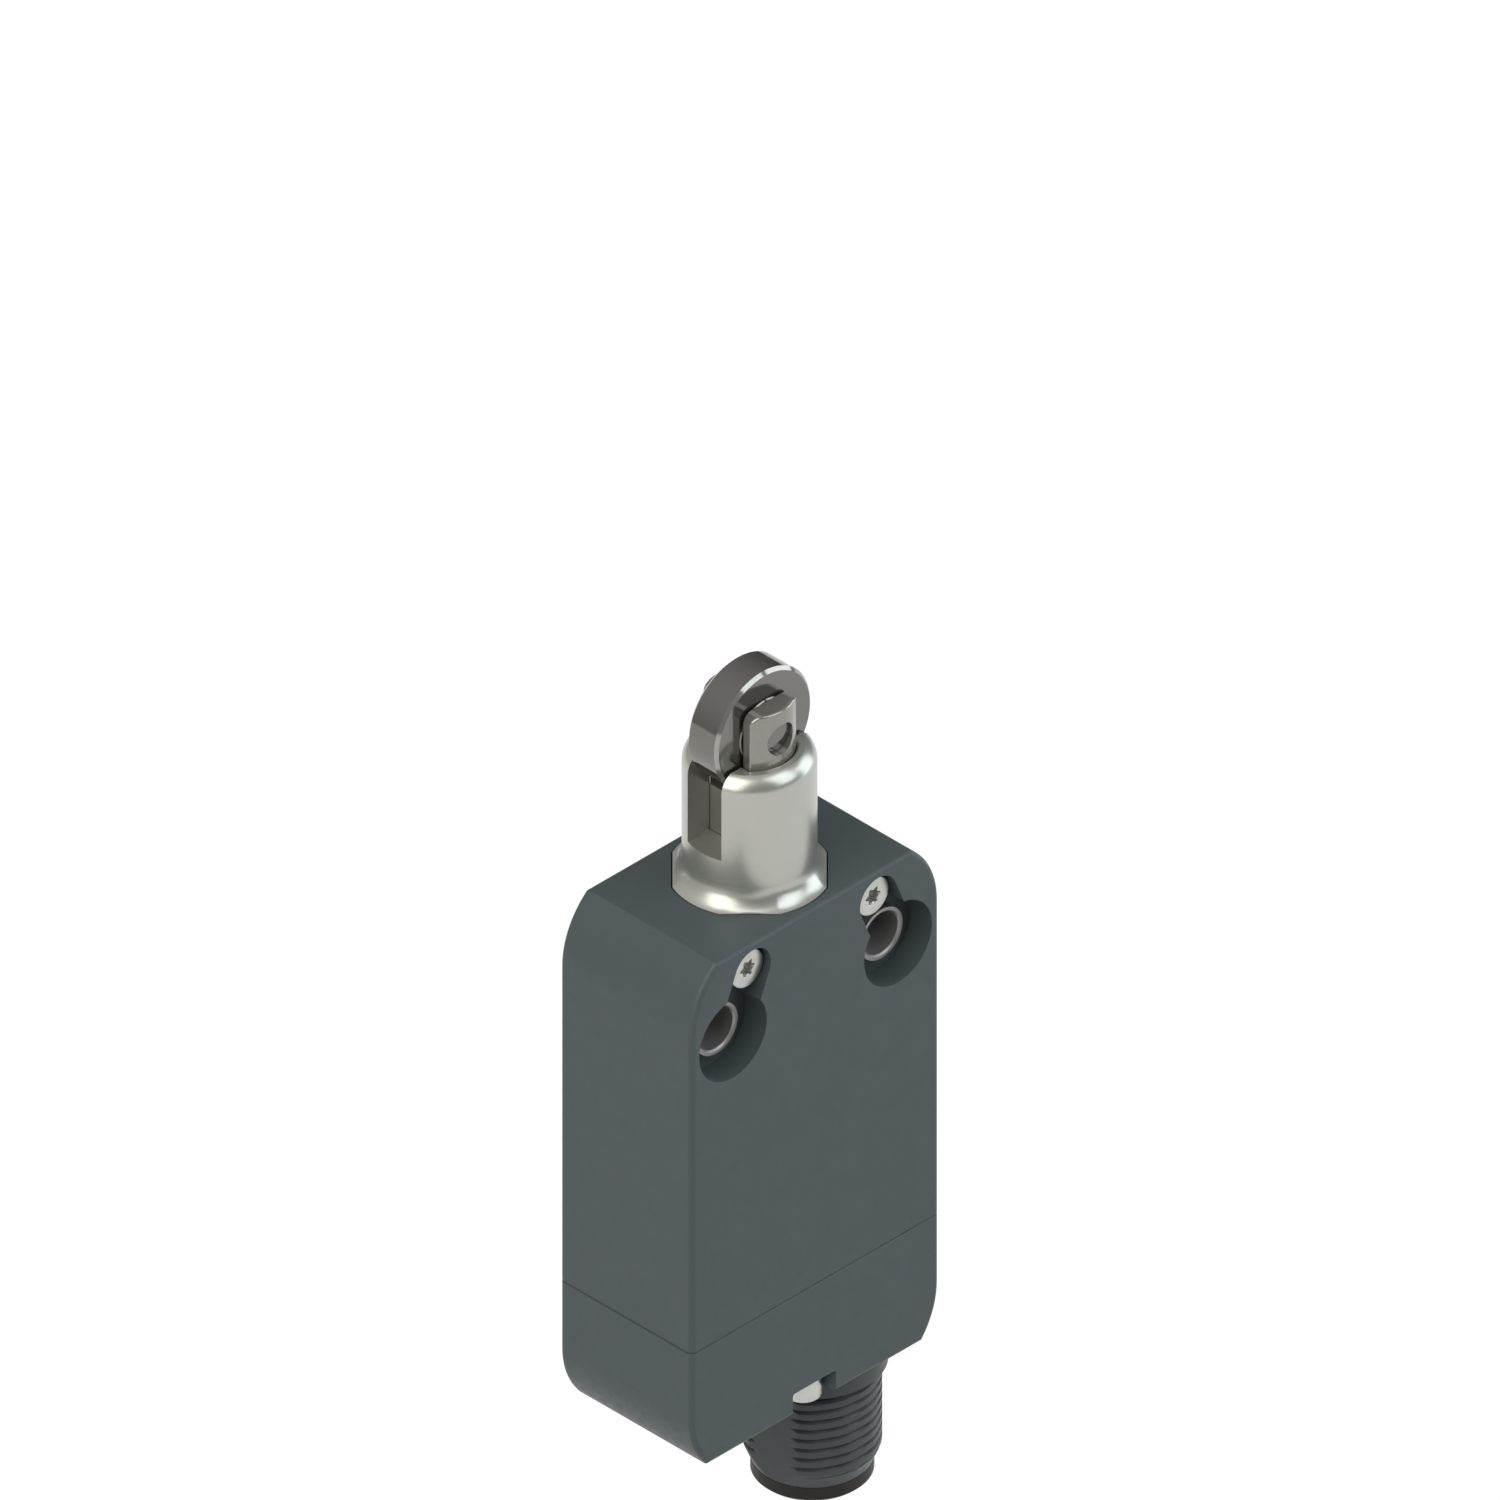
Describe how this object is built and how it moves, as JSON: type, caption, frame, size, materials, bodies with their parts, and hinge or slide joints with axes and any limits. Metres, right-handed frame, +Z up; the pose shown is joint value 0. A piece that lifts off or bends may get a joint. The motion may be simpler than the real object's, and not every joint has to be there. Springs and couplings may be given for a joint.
{
  "type": "roller plunger limit switch",
  "caption": "Compact position switch with a sprung roller plunger in a steel guide head, two snap-free contact bridges inside and a threaded round plug connector below.",
  "frame": {"origin": "midway between the two fixing holes, on the flat back face", "axes": "+X across the switch along the line of the fixing holes, +Y along the fixing holes into the surface it is bolted to, +Z up along the plunger's axis towards the roller"},
  "size_m": [0.03, 0.016, 0.088],
  "materials": {
    "housing": "satin",
    "connector_metal": "satin",
    "head_steel": "satin",
    "plunger_steel": "polished",
    "roller_steel": "polished",
    "bush_steel": "satin",
    "screw_steel": "satin",
    "spring_steel": "polished",
    "black_rubber": "matte",
    "black_plastic": "matte",
    "case_plastic": "matte",
    "carrier_plastic": "matte",
    "board": "satin",
    "contact_brass": "polished",
    "contact_tips": "polished"
  },
  "bodies": {
    "housing": {"base_gasket": "black_rubber", "base_housing": "housing", "base_screws": "screw_steel", "carrier_spring": "spring_steel", "connector_nut": "connector_metal", "connector_o_ring": "black_rubber", "connector_pins": "contact_brass", "connector_shell": "connector_metal", "contact_case": "case_plastic", "contact_case_base": "case_plastic", "contact_insert": "black_plastic", "fixed_contact_tips": "contact_tips", "guide_head": "head_steel", "head_o_ring": "black_rubber", "head_screws": "screw_steel", "mounting_bush_left": "bush_steel", "mounting_bush_right": "bush_steel", "nc_fixed_contact_left": "contact_brass", "nc_fixed_contact_right": "contact_brass", "no_fixed_contact_left": "contact_brass", "no_fixed_contact_right": "contact_brass", "return_spring": "spring_steel", "spring_seat": "head_steel", "terminal_board": "board", "upper_housing": "housing"},
    "plunger": {"plunger": "plunger_steel", "plunger_o_ring": "black_rubber", "retaining_clip": "spring_steel", "roller_axle": "plunger_steel"},
    "roller": {"roller": "roller_steel"},
    "carrier": {"contact_carrier": "carrier_plastic", "nc_contact_spring": "spring_steel", "no_contact_spring": "spring_steel"},
    "nc_bridge": {"nc_bridge": "contact_brass", "nc_moving_tips": "contact_tips"},
    "no_bridge": {"no_bridge": "contact_brass", "no_moving_tips": "contact_tips"}
  },
  "joints": [
    {"name": "plunger_slide", "type": "slide", "parent": "housing", "child": "plunger", "axis": [0, 0, -1], "range_m": [0, 0.0048], "stiffness_N_per_m": 2000, "springref_m": -0.003, "deforming": ["return_spring"]},
    {"name": "roller_spin", "type": "hinge", "parent": "plunger", "child": "roller", "pos_m": [0, -0.008, 0.0244], "axis": [0, 1, 0], "continuous": true},
    {"name": "carrier_slide", "type": "slide", "parent": "housing", "child": "carrier", "axis": [0, 0, -1], "range_m": [0, 0.0048], "deforming": ["carrier_spring"]},
    {"name": "nc_bridge_slide", "type": "slide", "parent": "carrier", "child": "nc_bridge", "axis": [0, 0, 1], "range_m": [0, 0.0006], "deforming": ["nc_contact_spring"]},
    {"name": "no_bridge_slide", "type": "slide", "parent": "carrier", "child": "no_bridge", "axis": [0, 0, 1], "range_m": [0, 0.0006], "deforming": ["no_contact_spring"]}
  ],
  "couplings": [
    {"joint": "carrier_slide", "follows": "plunger_slide", "ratio": 1},
    {"joint": "nc_bridge_slide", "follows": "plunger_slide", "ratio": 0.125},
    {"joint": "no_bridge_slide", "follows": "plunger_slide", "ratio": 0.125}
  ]
}
